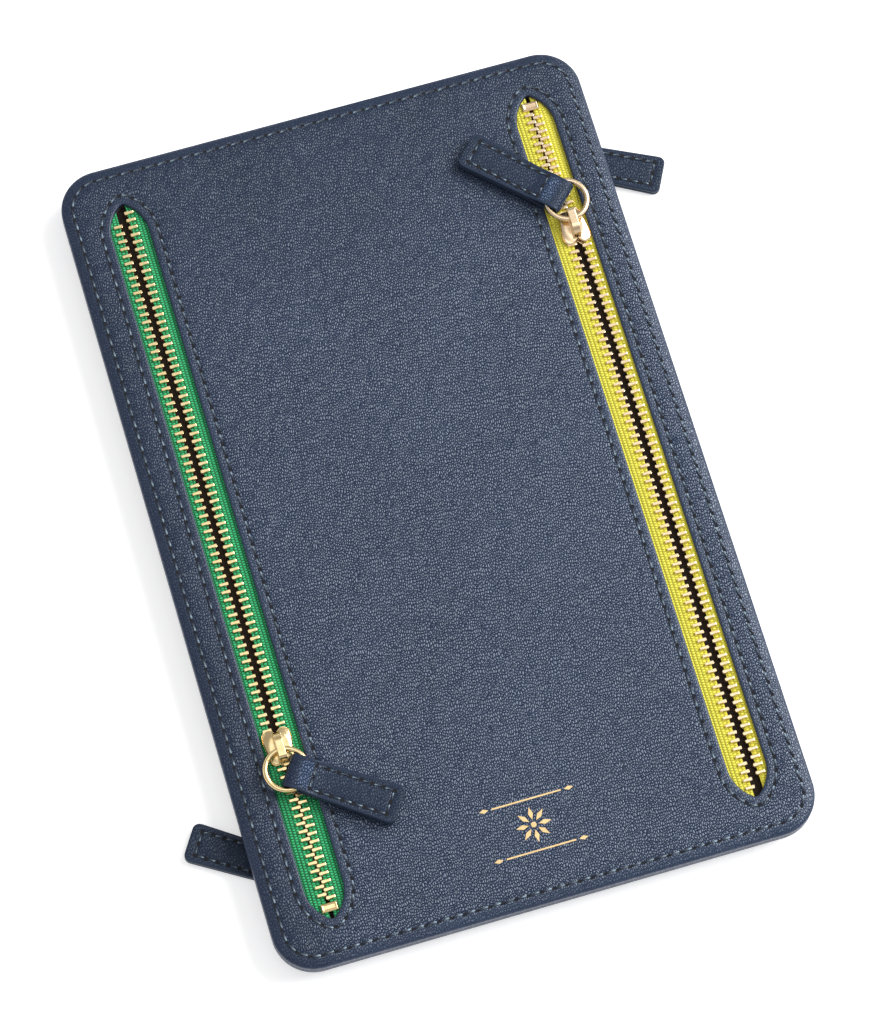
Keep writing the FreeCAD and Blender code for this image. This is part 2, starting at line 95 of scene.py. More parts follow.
# ---------------------------------------------------------------- materials
class Look:
    """A node material with its coordinates in millimetres."""

    def __init__(self, name, colour, roughness, metallic=0.0, **sockets):
        self.material = bpy.data.materials.new(name)
        self.material.use_nodes = True
        self.tree = self.material.node_tree
        self.shader = self.tree.nodes["Principled BSDF"]
        self.shader.inputs["Base Color"].default_value = (*colour, 1)
        self.shader.inputs["Roughness"].default_value = roughness
        self.shader.inputs["Metallic"].default_value = metallic
        for key, value in sockets.items():
            self.shader.inputs[key.replace("_", " ")].default_value = value
        where = self.node("ShaderNodeTexCoord").outputs["Object"]
        scale = self.node("ShaderNodeVectorMath", operation="SCALE")
        scale.inputs["Scale"].default_value = 1000.0
        self.link(where, scale.inputs[0])
        self.mm = scale.outputs[0]

    def node(self, kind, **settings):
        made = self.tree.nodes.new(kind)
        for key, value in settings.items():
            setattr(made, key, value)
        return made

    def link(self, source, target):
        self.tree.links.new(source, target)

    def put(self, value, socket):
        """A link or a number into a socket."""
        if isinstance(value, (int, float)):
            socket.default_value = value
        elif isinstance(value, tuple):
            socket.default_value = (*value, 1)
        else:
            self.link(value, socket)

    def math(self, operation, a, b=0.0):
        made = self.node("ShaderNodeMath", operation=operation)
        self.put(a, made.inputs[0])
        self.put(b, made.inputs[1])
        return made.outputs[0]

    def noise(self, scale, detail=2.0, roughness=0.5, vector=None):
        made = self.node("ShaderNodeTexNoise")
        made.inputs["Scale"].default_value = scale
        made.inputs["Detail"].default_value = detail
        made.inputs["Roughness"].default_value = roughness
        self.link(vector or self.mm, made.inputs["Vector"])
        return made.outputs["Fac"]

    def cells(self, scale, feature="F1", vector=None):
        made = self.node("ShaderNodeTexVoronoi", voronoi_dimensions="2D", feature=feature)
        made.inputs["Scale"].default_value = scale
        self.link(vector or self.mm, made.inputs["Vector"])
        return made.outputs["Distance"]

    def bend(self, scale, amount):
        """Coordinates pushed about by a slow noise."""
        wobble = self.node("ShaderNodeTexNoise")
        wobble.inputs["Scale"].default_value = scale
        wobble.inputs["Detail"].default_value = 1.0
        self.link(self.mm, wobble.inputs["Vector"])
        push = self.node("ShaderNodeVectorMath", operation="MULTIPLY_ADD")
        self.link(wobble.outputs["Color"], push.inputs[0])
        push.inputs[1].default_value = (amount, amount, amount)
        self.link(self.mm, push.inputs[2])
        return push.outputs[0]

    def stretch(self, vector, amounts):
        made = self.node("ShaderNodeVectorMath", operation="MULTIPLY")
        self.link(vector, made.inputs[0])
        made.inputs[1].default_value = amounts
        return made.outputs[0]

    def fit(self, value, low, high, to_low=0.0, to_high=1.0):
        made = self.node("ShaderNodeMapRange")
        for key, number in (("From Min", low), ("From Max", high),
                            ("To Min", to_low), ("To Max", to_high)):
            made.inputs[key].default_value = number
        self.link(value, made.inputs["Value"])
        return made.outputs["Result"]

    def mix(self, share, a, b):
        made = self.node("ShaderNodeMix", data_type="RGBA")
        self.put(share, made.inputs["Factor"])
        self.put(a, made.inputs["A"])
        self.put(b, made.inputs["B"])
        return made.outputs["Result"]

    def attribute(self, name):
        return self.node("ShaderNodeAttribute", attribute_name=name).outputs["Fac"]

    def colour(self, value):
        self.link(value, self.shader.inputs["Base Color"])

    def rough(self, value):
        self.link(value, self.shader.inputs["Roughness"])

    def bump(self, height, depth_mm):
        made = self.node("ShaderNodeBump")
        made.inputs["Strength"].default_value = 1.0
        made.inputs["Distance"].default_value = depth_mm * MM
        self.link(height, made.inputs["Height"])
        self.link(made.outputs["Normal"], self.shader.inputs["Normal"])


GRAIN_STRETCH = (0.84, 0.64, 1.0)  # pebbles longer along the wallet than across it
PAINTED_SHADE_TOP = (50.0, 105.0)  # mm along Y: painted shade, darker and duller leather, towards the top
PAINTED_SHADE_LEFT = (-50.0, -60.0)  # mm along X: and painted shade towards the left edge
YARN_LENGTH = 0.70  # mm
YARN_WIDTH = 1.0


def leather_look(name, base, cell, depth, roughness, contrast, gloss, edge_highlight=0.0, painted_light_amount=0.0):
    """Pebbled leather, its colour following its grain: painted shade in the valleys and painted
    highlights on the ridges. The attribute "paint" smooths it to edge paint where it is 1, and puts
    a painted highlight on the raised grain where it is below 0. Painted light lightens it and
    strengthens its grain and sheen everywhere but along the top and the left edge, which keep
    painted shade. The edge highlight lightens the edge paint, a painted highlight."""
    look = Look(name, base, roughness, Specular_Tint=(0.86, 0.94, 1.0, 1.0))
    paint = look.attribute("paint")
    bent = look.bend(0.25, 1.6)
    drawn = look.stretch(bent, GRAIN_STRETCH)
    edge = look.fit(look.cells(1 / cell, "DISTANCE_TO_EDGE", drawn), 0.0, 0.36)
    ridge = look.fit(look.noise(1.8 / cell, 0.0, 0.5, drawn), 0.32, 0.68)
    height = look.math("MULTIPLY", edge, 0.85)
    height = look.math("ADD", height, look.math("MULTIPLY", ridge, 0.15))
    keep = look.math("SUBTRACT", 1.0, look.math("MULTIPLY", paint, 0.88))
    look.bump(look.math("MULTIPLY", height, keep), depth)
    cloud = look.fit(look.noise(0.05, 3.0, 0.6), 0.3, 0.7, 0.92, 1.08)
    # Painted shade and highlight: the colour follows the grain's height, darker in the valleys and
    # lighter on the ridges; the specular level follows it too
    relief = look.math("SUBTRACT", look.fit(height, 0.1, 0.9, 0.0, 2.0), 1.0)
    relief = look.math("MULTIPLY", relief, keep)
    # calm is 1 along the top and the left edge, which keep painted shade; elsewhere the painted
    # light mask lightens the colour, strengthens the grain's colour relief and raises the specular
    # level
    place = look.node("ShaderNodeSeparateXYZ")
    look.link(look.mm, place.inputs[0])
    calm = look.math("MAXIMUM", look.fit(place.outputs["Y"], *PAINTED_SHADE_TOP),
                     look.fit(place.outputs["X"], *PAINTED_SHADE_LEFT))
    painted_light_mask = look.math("MULTIPLY", look.math("SUBTRACT", 1.0, calm), painted_light_amount)
    relief = look.math("MULTIPLY", relief, look.math("ADD", painted_light_mask, 1.0))
    light = look.math("ADD", look.math("MULTIPLY", relief, contrast), 1.0)
    light = look.math("MULTIPLY", light, look.math("ADD", look.math("MULTIPLY", painted_light_mask, 0.6), 1.0))
    light = look.math("MAXIMUM", look.math("MULTIPLY", light, cloud), 0.08)
    # Painted highlight: the edge paint is lightened by the edge highlight amount
    light = look.math("ADD", light, look.math("MULTIPLY", look.math("MAXIMUM", paint, 0.0), edge_highlight))
    # Painted highlight: where paint is below 0, on the tab's creased fold band, the raised grain is
    # lightened
    wear_and_glint = look.math("MAXIMUM", look.math("MULTIPLY", paint, -4.0), 0.0)
    light = look.math("ADD", light, look.math("MULTIPLY", wear_and_glint, look.math("POWER", height, 1.6)))
    tone = look.node("ShaderNodeVectorMath", operation="SCALE")
    tone.inputs[0].default_value = base
    look.link(light, tone.inputs["Scale"])
    look.colour(tone.outputs[0])
    shine = look.math("ADD", look.math("MULTIPLY", relief, 0.8 * gloss), gloss)
    shine = look.math("MULTIPLY", shine, look.math("ADD", look.math("MULTIPLY", painted_light_mask, 0.7), 1.0))
    look.link(look.math("MAXIMUM", shine, 0.05), look.shader.inputs["Specular IOR Level"])
    look.rough(look.fit(look.noise(1.6, 3.0, 0.6), 0.3, 0.7, roughness - 0.05, roughness + 0.07))
    return look.material


def woven_look(name, colour, shade):
    """A woven tape: short raised yarns across it, each column half a row off the last."""
    look = Look(name, colour, 0.6, Sheen_Weight=0.2, Sheen_Roughness=0.5)
    split = look.node("ShaderNodeSeparateXYZ")
    look.link(look.mm, split.inputs[0])
    x, y = split.outputs["X"], split.outputs["Y"]
    across = look.math("DIVIDE", x, YARN_WIDTH)
    odd = look.math("MULTIPLY", look.math("MODULO", look.math("FLOOR", across), 2.0), 0.5)
    along = look.math("ADD", look.math("DIVIDE", y, YARN_LENGTH), odd)
    ridge_x = look.math("ABSOLUTE", look.math("SINE", look.math("MULTIPLY", across, math.pi)))
    ridge_y = look.math("ABSOLUTE", look.math("SINE", look.math("MULTIPLY", along, math.pi)))
    yarn = look.math("MULTIPLY", look.math("POWER", ridge_x, 0.8), look.math("POWER", ridge_y, 0.9))
    fibre = look.noise(9.0, 3.0, 0.7)
    height = look.math("ADD", yarn, look.math("MULTIPLY", fibre, 0.25))
    look.bump(height, 0.30)
    wear_and_glint = look.fit(look.noise(0.12, 2.0), 0.3, 0.7, 0.0, 0.12)
    tone = look.mix(look.fit(yarn, 0.10, 0.80), shade, colour)
    look.colour(look.mix(wear_and_glint, tone, shade))
    return look.material


def metal_look(name, colour, tint, roughness):
    """Polished plated metal with slight wear and fine polishing marks."""
    look = Look(name, colour, roughness, metallic=1.0)
    wear_and_glint = look.noise(0.9, 4.0, 0.6)
    look.colour(look.mix(look.fit(wear_and_glint, 0.35, 0.7), colour, tint))
    marks = look.noise(14.0, 3.0, 0.7)
    look.rough(look.fit(marks, 0.3, 0.75, roughness * 0.7, roughness * 1.5))
    look.bump(look.math("ADD", marks, look.math("MULTIPLY", wear_and_glint, 1.5)), 0.006)
    return look.material


def thread_look(name, colour, light):
    """Twisted thread. Where the attribute "paint" is 1 it stands proud, and a painted highlight
    mixes it towards the light colour.
    """
    look = Look(name, colour, 0.5, Sheen_Weight=0.2, Sheen_Roughness=0.4)
    turn = look.node("ShaderNodeTexWave", wave_type="BANDS", bands_direction="DIAGONAL")
    turn.inputs["Scale"].default_value = 1.1
    turn.inputs["Distortion"].default_value = 1.5
    look.link(look.mm, turn.inputs["Vector"])
    catch = look.fit(look.noise(0.9, 2.0), 0.35, 0.6, 0.25)
    glint = look.math("MULTIPLY", look.attribute("paint"), catch)
    tone = look.mix(turn.outputs["Fac"], tuple(c * 0.6 for c in colour), colour)
    look.colour(look.mix(glint, tone, light))
    look.bump(turn.outputs["Fac"], 0.05)
    return look.material


def cloth_look(name, colour, light):
    """Plain dark lining cloth; also the near-black painted shade in the needle holes."""
    look = Look(name, colour, 0.9, Sheen_Weight=0.15)
    weave = look.math("MULTIPLY", look.cells(2.4), look.noise(6.0, 2.0))
    look.colour(look.mix(look.fit(weave, 0.05, 0.4), colour, light))
    look.bump(weave, 0.08)
    return look.material


LOOKS = {
    # navy_leather: painted light everywhere but along the top and the left edge, which keep painted
    # shade
    "leather": leather_look("navy_leather", (0.021, 0.033, 0.065), 0.50, 0.10, 0.28, 0.34, 0.40,
                            painted_light_amount=0.50),
    # tab_leather: its edge paint gets a painted highlight (the last number), and its creased fold
    # band another one on the raised grain
    "tab": leather_look("tab_leather", (0.018, 0.029, 0.056), 0.50, 0.06, 0.29, 0.16, 0.26, 0.10),
    "edge": leather_look("painted_edge", (0.034, 0.048, 0.088), 0.9, 0.06, 0.36, 0.15, 0.25),
    "green": woven_look("green_tape", (0.030, 0.64, 0.22), (0.0, 0.13, 0.035)),
    "yellow": woven_look("yellow_tape", (0.96, 0.92, 0.11), (0.78, 0.68, 0.03)),
    "gold": metal_look("gold_metal", (1.0, 0.74, 0.35), (1.0, 0.82, 0.48), 0.20),
    "pale_gold": metal_look("pale_gold_metal", (1.0, 0.75, 0.46), (1.0, 0.80, 0.56), 0.21),
    "thread": thread_look("navy_thread", (0.014, 0.024, 0.046), (0.28, 0.38, 0.46)),
    # needle holes: a near-black disc of painted shade in each
    "hole": cloth_look("needle_hole_shade", (0.0015, 0.0025, 0.006), (0.004, 0.006, 0.011)),
    "lining": cloth_look("brown_lining", (0.016, 0.009, 0.006), (0.036, 0.021, 0.013)),
    "foil": metal_look("gold_foil", (0.92, 0.68, 0.34), (0.80, 0.54, 0.26), 0.30),
}


# ---------------------------------------------------------------- mesh helpers
def make_piece(name, points, faces, look, body, paint=None):
    """A mesh piece in millimetres that rides on a body."""
    mesh = bpy.data.meshes.new(name)
    mesh.from_pydata((np.asarray(points, float) * MM).tolist(), [], faces)
    mesh.validate()
    mesh.polygons.foreach_set("use_smooth", [True] * len(mesh.polygons))
    if paint is not None:
        layer = mesh.attributes.new("paint", "FLOAT", "POINT")
        layer.data.foreach_set("value", np.asarray(paint, np.float32))
    mesh.materials.append(LOOKS[look])
    piece = bpy.data.objects.new(name, mesh)
    bpy.context.scene.collection.objects.link(piece)
    if body:
        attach(piece, body)
    return piece


def dress(node, look):
    """A CAD node with one material."""
    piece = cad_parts[node]
    piece.data.materials.clear()
    piece.data.materials.append(LOOKS[look])
    return piece


def add_weld(piece):
    weld = piece.modifiers.new("weld", "WELD")
    weld.merge_threshold = WELD * MM


def strip_faces(rows, count, first=0):
    """Quads between closed rows of the same number of points."""
    faces = []
    for row in range(rows - 1):
        a = first + row * count
        b = a + count
        for i in range(count):
            j = (i + 1) % count
            faces.append((a + i, a + j, b + j, b + i))
    return faces


def smoothstep(value, low, high):
    t = np.clip((value - low) / (high - low), 0, 1)
    return t * t * (3 - 2 * t)


# ---------------------------------------------------------------- outlines
def spread(start, end, step):
    """Evenly spaced numbers from start up to, but not at, end."""
    count = max(2, round(abs(end - start) / step))
    return np.linspace(start, end, count, endpoint=False)


def rim_outline(step):
    """Points round the wallet's edge and the outward normal at each, counter-clockwise."""
    points, normals = [], []
    x, y = HALF_WIDTH - CORNER, HALF_HEIGHT - CORNER
    quarters = ((x, -y, -90), (x, y, 0), (-x, y, 90), (-x, -y, 180))
    for index, (cx, cy, turn) in enumerate(quarters):
        for angle in spread(math.radians(turn), math.radians(turn + 90), step / CORNER):
            normal = (math.cos(angle), math.sin(angle))
            points.append((cx + CORNER * normal[0], cy + CORNER * normal[1]))
            normals.append(normal)
        end = math.radians(turn + 90)
        normal = np.array((math.cos(end), math.sin(end)))
        start = np.array((cx, cy)) + CORNER * normal
        nx, ny, _ = quarters[(index + 1) % 4]
        finish = np.array((nx, ny)) + CORNER * normal
        for share in spread(0, 1, step / np.linalg.norm(finish - start)):
            points.append(start + share * (finish - start))
            normals.append(normal)
    return np.array(points, float), np.array(normals, float)


FLANK = (SLOT_HALF ** 2 + ARCH ** 2) / (2 * SLOT_HALF)
FLANK_OFFSET = FLANK - SLOT_HALF
TIP_RISE = math.sqrt((FLANK - TIP_RADIUS) ** 2 - FLANK_OFFSET ** 2)
TIP_ANGLE = math.atan2(TIP_RISE, FLANK_OFFSET)


def slot_outline(x, step):
    """Points round a slot's edge and the normal at each, pointing away from the slot."""
    quarter, normals = [], []
    for y in spread(0, SHOULDER, step):
        quarter.append((SLOT_HALF, y))
        normals.append((1, 0))
    for angle in spread(0, TIP_ANGLE, step / FLANK):
        normal = (math.cos(angle), math.sin(angle))
        quarter.append((-FLANK_OFFSET + FLANK * normal[0], SHOULDER + FLANK * normal[1]))
        normals.append(normal)
    for angle in spread(TIP_ANGLE, math.pi / 2, 0.2):
        normal = (math.cos(angle), math.sin(angle))
        quarter.append((TIP_RADIUS * normal[0], SHOULDER + TIP_RISE + TIP_RADIUS * normal[1]))
        normals.append(normal)
    quarter, normals = np.array(quarter), np.array(normals)
    tip = np.array([[0, SHOULDER + TIP_RISE + TIP_RADIUS]])
    up = np.array([[0, 1.0]])
    half = np.vstack([quarter, tip, quarter[:0:-1] * (-1, 1)])
    half_normals = np.vstack([normals, up, normals[:0:-1] * (-1, 1)])
    points = np.vstack([half, half * -1]) + (x, 0)
    return points, np.vstack([half_normals, half_normals * -1])


def rim_distance(points):
    """How far inside the wallet's edge each point is."""
    q = np.abs(points) - (HALF_WIDTH - CORNER, HALF_HEIGHT - CORNER)
    outside = np.linalg.norm(np.maximum(q, 0), axis=1)
    return CORNER - outside - np.minimum(q.max(axis=1), 0)


def slot_distance(points, x):
    """How far outside a slot's edge each point is."""
    across = np.abs(points[:, 0] - x)
    along = np.abs(points[:, 1]) - SHOULDER
    straight = across - SLOT_HALF
    angle = np.arctan2(along, across + FLANK_OFFSET)
    flank = np.hypot(across + FLANK_OFFSET, along) - FLANK
    tip = np.hypot(across, along - TIP_RISE) - TIP_RADIUS
    return np.where(along < 0, straight, np.where(angle < TIP_ANGLE, flank, tip))


# ---------------------------------------------------------------- leather faces
def undulation(points):
    """The face's slow rise and fall, never above the flat and calm under the foil."""
    x, y = points[:, 0], points[:, 1]
    wave = (np.sin(x / 19 + 0.7) * np.sin(y / 31 + 1.3) + 0.6 * np.sin(x / 11 + y / 27)
            + 0.35 * np.sin(y / 9.0 - x / 16 + 2.0))
    calm = smoothstep(np.hypot(x / 18, (y - FOIL_MIDDLE) / 12), 0.9, 1.6)
    return -0.012 - 0.10 * (1.95 - wave) / 1.95 * calm


def face_depth(points, slots):
    """How far the leather's surface lies below the face, without the stitching's pull."""
    inside = np.maximum(rim_distance(points), 0)
    drop = EDGE_DROP * np.clip(1 - inside / EDGE_DROP_WIDTH, 0, 1) ** 1.6
    radius = 0.55
    bend = np.clip(radius - inside, 0, radius)
    drop += radius - np.sqrt(radius ** 2 - bend ** 2)
    drop += 0.03 * np.exp(-((inside - 1.15) / 0.25) ** 2)
    for x in slots:
        away = np.maximum(slot_distance(points, x), 0)
        radius = 0.42
        bend = np.clip(radius - away, 0, radius)
        drop += radius - np.sqrt(radius ** 2 - bend ** 2)
        drop += 0.10 * np.exp(-away / 1.6)
    return drop - undulation(points)


def pull(away, length_along, pitch):
    """The groove that a stitch line sews into the leather, deepest at the needle holes."""
    groove = np.exp(-(away / 0.62) ** 2)
    pucker = 0.66 + 0.34 * np.cos(2 * math.pi * length_along / pitch)
    return 0.20 * groove * pucker


def along_ring(points):
    """The distance along a closed ring at each point, and its whole length."""
    gaps = np.linalg.norm(np.roll(points, -1, axis=0) - points, axis=1)
    return np.concatenate([[0], np.cumsum(gaps)[:-1]]), gaps.sum()


# How far in from a cut edge each ring of the leather's mesh lies
RIM_RINGS = (0.0, 0.04, 0.13, 0.26, 0.42, 0.6, 0.85, 1.15, 1.45, 1.8, 2.15, 2.45, 2.7, 2.9,
             3.1, 3.35)
SLOT_RINGS = (0.0, 0.04, 0.12, 0.24, 0.42, 0.7, 1.1, 1.5, 1.8, 2.05, 2.25, 2.4, 2.55, 2.75, 2.95)


def edge_paint_share(away, stitch):
    """1 on the cut edge itself, then smoother leather as far as the stitches."""
    near = 0.6 * smoothstep(away, 0.2, 0.6)
    far = 0.4 * smoothstep(away, stitch - 0.6, stitch)
    return float(1 - near - far)


def leather_panel(side, slots):
    """One leather face with both slots, its edges turned down, and its stitch lines."""
    face = FRONT_FACE if side > 0 else BACK_FACE
    front = "front" if side > 0 else "back"
    points, depth, paint, faces, borders, stitches = [], [], [], [], [], []
    count = 0
    for kind in ("rim", *slots):
        if kind == "rim":
            outline, normals = rim_outline(RING_STEP)
            rings, sign, stitch, wanted = RIM_RINGS, -1, RIM_STITCH, RIM_PITCH
        else:
            outline, normals = slot_outline(kind, RING_STEP)
            rings, sign, stitch, wanted = SLOT_RINGS, 1, SLOT_STITCH, SLOT_PITCH
        ring = outline + sign * stitch * normals
        length_along, total = along_ring(ring)
        pitch = total / round(total / wanted)
        first = count
        rows = [outline, *(outline + sign * away * normals for away in rings)]
        for index, row in enumerate(rows):
            away = 0.0 if index == 0 else rings[index - 1]
            level = face_depth(row, slots) + pull(away - stitch, length_along, pitch)
            if index == 0:
                level = np.full(len(row), LEATHER + (EDGE_DROP if kind == "rim" else 0))
            points.append(row)
            depth.append(level)
            paint.append(np.full(len(row), edge_paint_share(away, stitch)))
            count += len(row)
        made = strip_faces(len(rows), len(outline), first)
        if (kind == "rim") != (side > 0):
            made = [f[::-1] for f in made]
        faces += made
        borders.append(np.arange(count - len(outline), count))
        level = face_depth(ring, slots) + pull(0.0, length_along, pitch)
        stitches.append((ring, level, length_along, total, pitch))
    fill_between(points, depth, paint, faces, borders, slots, side, count)
    flat = np.vstack(points)
    z = face - side * np.concatenate(depth)
    piece = make_piece(f"{front}_leather", np.column_stack([flat, z]), faces, "leather",
                       "wallet", np.concatenate(paint))
    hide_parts("front_panel" if side > 0 else "back_panel")
    for index, (ring, level, length_along, total, pitch) in enumerate(stitches):
        places, holes = [], []
        line = (ring, level, length_along, total)
        for k in range(round(total / pitch)):
            places.append(ring_place(*line, (k + 0.5) * pitch, face, side))
            holes.append(ring_place(*line, k * pitch, face, side))
        label = ("rim", "left_slot", "right_slot")[index]
        sew(f"{front}_{label}_stitches", places, holes, "wallet", pitch)


def fill_between(points, depth, paint, faces, borders, slots, side, count):
    """Triangles over the middle of the face, between the innermost rings."""
    step = 1.7
    grid = []
    for row, y in enumerate(np.arange(-HALF_HEIGHT, HALF_HEIGHT, step * 0.866)):
        for x in np.arange(-HALF_WIDTH, HALF_WIDTH, step):
            grid.append((x + (row % 2) * step / 2, y))
    grid = np.array(grid)
    clear = rim_distance(grid) > RIM_RINGS[-1] + 0.5
    for x in slots:
        clear &= slot_distance(grid, x) > SLOT_RINGS[-1] + 0.5
    grid = grid[clear]
    everything = np.vstack(points)
    border = np.concatenate(borders)
    places = np.vstack([everything[border], grid])
    edges, start = [], 0
    for ring in borders:
        edges += [(start + i, start + (i + 1) % len(ring)) for i in range(len(ring))]
        start += len(ring)
    result = geometry.delaunay_2d_cdt([Vector(p) for p in places], edges, [], 0, 1e-6, True)
    corners, _, triangles, origin = result[:4]
    index_of = [o[0] if o else -1 for o in origin]
    target = [border[i] if 0 <= i < len(border) else count + i - len(border) for i in index_of]
    middles = np.array([[sum(corners[i][k] for i in t) / 3 for k in (0, 1)] for t in triangles])
    keep = rim_distance(middles) > RIM_RINGS[-1] - 0.01
    for x in slots:
        keep &= slot_distance(middles, x) > SLOT_RINGS[-1] - 0.01
    for triangle, wanted in zip(triangles, keep):
        if wanted:
            ids = [int(target[i]) for i in triangle]
            faces.append(tuple(ids if side > 0 else ids[::-1]))
    points.append(grid)
    depth.append(face_depth(grid, slots))
    paint.append(np.zeros(len(grid)))


def ring_place(ring, level, length_along, total, where, face, side):
    """A place on a stitch ring: the point, the way along and the way out."""
    closed = np.append(length_along, total)

    def at(values, distance=where):
        return np.interp(distance % total, closed, np.append(values, values[0]))

    x, y = at(ring[:, 0]), at(ring[:, 1])
    ahead = where + 0.3
    along = np.array([at(ring[:, 0], ahead) - x, at(ring[:, 1], ahead) - y, 0.0])
    along /= np.linalg.norm(along)
    return np.array([x, y, face - side * at(level)]), along, np.array([0, 0, float(side)])


# ---------------------------------------------------------------- stitching
def sew(name, places, holes, body, pitch, radius=0.24):
    """Threads that dip into a needle hole at each end, and near-black discs of painted shade in the
    needle holes between them.
    """
    half = pitch * 0.40
    shares = np.array([-1.0, -0.86, -0.5, 0.0, 0.5, 0.86, 1.0])
    heights = np.array([-0.30, -0.06, 0.09, 0.13, 0.09, -0.06, -0.30])
    widths = np.array([0.55, 0.9, 1.0, 1.0, 1.0, 0.9, 0.55])
    # Painted highlight on the forward half of each stitch's top, carried in the attribute paint
    glints = np.array([0.0, 0.0, 0.0, 0.25, 1.0, 0.9, 0.0])
    sides, hole_sides = 7, 10
    turns = np.linspace(0, 2 * math.pi, sides, endpoint=False)
    points, faces, paint = [], [], []
    for number, (middle, along, up) in enumerate(places):
        across = np.cross(up, along)
        lean = 0.10 + 0.03 * math.sin(number * 2.4)
        first = len(points)
        for share, height, width, glint in zip(shares, heights, widths, glints):
            paint += [glint] * sides
            centre = middle + along * share * half + across * share * lean + up * height
            for turn in turns:
                points.append(centre + radius * width * (
                    across * math.cos(turn) + up * 0.8 * math.sin(turn)))
        faces += strip_faces(len(shares), sides, first)
    make_piece(name, points, faces, "thread", body, paint)
    # Near-black discs at the needle holes: painted shade
    points, faces = [], []
    for middle, along, up in holes:
        across = np.cross(up, along)
        first = len(points)
        points.append(middle + up * 0.02)
        for turn in np.linspace(0, 2 * math.pi, hole_sides, endpoint=False):
            points.append(middle + up * 0.10 + 0.70 * math.cos(turn) * along
                          + 0.52 * math.sin(turn) * across)
        faces += [(first, first + 1 + i, first + 1 + (i + 1) % hole_sides)
                  for i in range(hole_sides)]
    make_piece(name.replace("stitches", "holes"), points, faces, "hole", body)


# ---------------------------------------------------------------- painted edge
def painted_edge():
    """The burnished and painted edge round the whole stack, with a faint seam in the middle."""
    outline, normals = rim_outline(0.8)
    middle = (FRONT_FACE + BACK_FACE) / 2
    half = [(0.0, -0.03), (0.12, 0.02), (0.5, 0.07), (1.1, 0.12), (1.7, 0.12), (2.2, 0.06),
            (2.42, -0.02), (2.5, -0.14), (2.55, -0.35)]
    profile = [(-height, out) for height, out in half[:0:-1]] + half
    rows = [np.column_stack([outline + normals * out, np.full(len(outline), middle + height)])
            for height, out in profile]
    make_piece("edge_paint", np.vstack(rows), strip_faces(len(rows), len(outline)), "edge",
               "wallet", np.full(len(rows) * len(outline), 0.7))


# ---------------------------------------------------------------- zips
def ramp(value, start, end):
    return np.clip((value - start) / (end - start), 0, 1)


def tape_level(side):
    return FRONT_FACE - TAPE_DEPTH if side > 0 else BACK_FACE + TAPE_DEPTH


def make_tape(name, x, side, closing, slider_u, shift, look, row):
    """One woven tape with its beaded inner edge, bent to follow its row of teeth."""
    stops = np.unique(np.concatenate([
        np.arange(-TAPE_END, TAPE_END + 0.1, 1.25), slider_u + np.linspace(-14.5, 2.5, 35)]))
    stops = stops[np.abs(stops) <= TAPE_END]
    section = [(0.50, 0.0), (0.54, 0.16), (0.70, 0.26), (1.1, 0.27), (1.5, 0.25), (1.9, 0.25),
               (2.2, 0.29), (2.6, 0.37), (3.0, 0.37), (3.5, 0.31), (4.1, 0.2), (4.8, 0.08),
               (5.6, 0.06), (TAPE_REACH, 0.06),
               (TAPE_REACH, -0.22), (5.6, -0.22), (4.1, -0.12), (3.0, -0.05), (1.9, -0.2),
               (1.1, -0.26), (0.65, -0.2)]
    level = tape_level(side)
    begin, end = slider_u + PARTS[0], slider_u + PARTS[1]
    points = []
    for u in stops:
        across = shift * ramp(u, slider_u - 14, slider_u - 5)
        across += row * PARTING * ramp(u, begin, end)
        clip = TAPE_CLIP * ramp(abs(u), TAPE_END - TAPE_CLIP, TAPE_END)
        for out, up in section:
            reach = min(out, TAPE_REACH - clip)
            points.append((x + across + row * reach - (across if out > 5 else 0),
                           closing * u, level + side * up))
    count = len(section)
    faces = strip_faces(len(stops), count)
    faces += [tuple(range(count)), tuple(range(len(points) - 1, len(points) - 1 - count, -1))]
    if row * closing * side > 0:
        faces = [f[::-1] for f in faces]
    side_name = "left" if row < 0 else "right"
    tape = make_piece(f"{name}_woven_{side_name}", points, faces, look, None)
    if side < 0:  # begin and end are set again for a back zip, but nothing after this reads them
        begin, end = -88.0, -84.0
    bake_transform(tape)
    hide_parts(f"{name}_tape_{side_name}")


def applied(piece):
    """The piece's mesh with its modifiers applied and taken off."""
    done = bpy.data.meshes.new_from_object(
        piece.evaluated_get(bpy.context.evaluated_depsgraph_get()))
    piece.modifiers.clear()
    return done


def domed(out, u, w):
    """How far a slider's outer plate drops towards its edge; u and out from its middle."""
    plate = smoothstep(w, 1.15, 1.45) * (1 - smoothstep(w, 1.82, 2.1))
    return -0.55 * plate * smoothstep((out / 3.9) ** 2 + (u / 4.9) ** 2, 0.25, 1.15)


def framed(out, u, w):
    """The sunk middle of a box stop's top face."""
    inner = (1 - smoothstep(abs(out), 1.45, 1.75)) * (1 - smoothstep(abs(u), 0.5, 0.8))
    return -0.22 * inner * smoothstep(w, 0.8, 1.1)


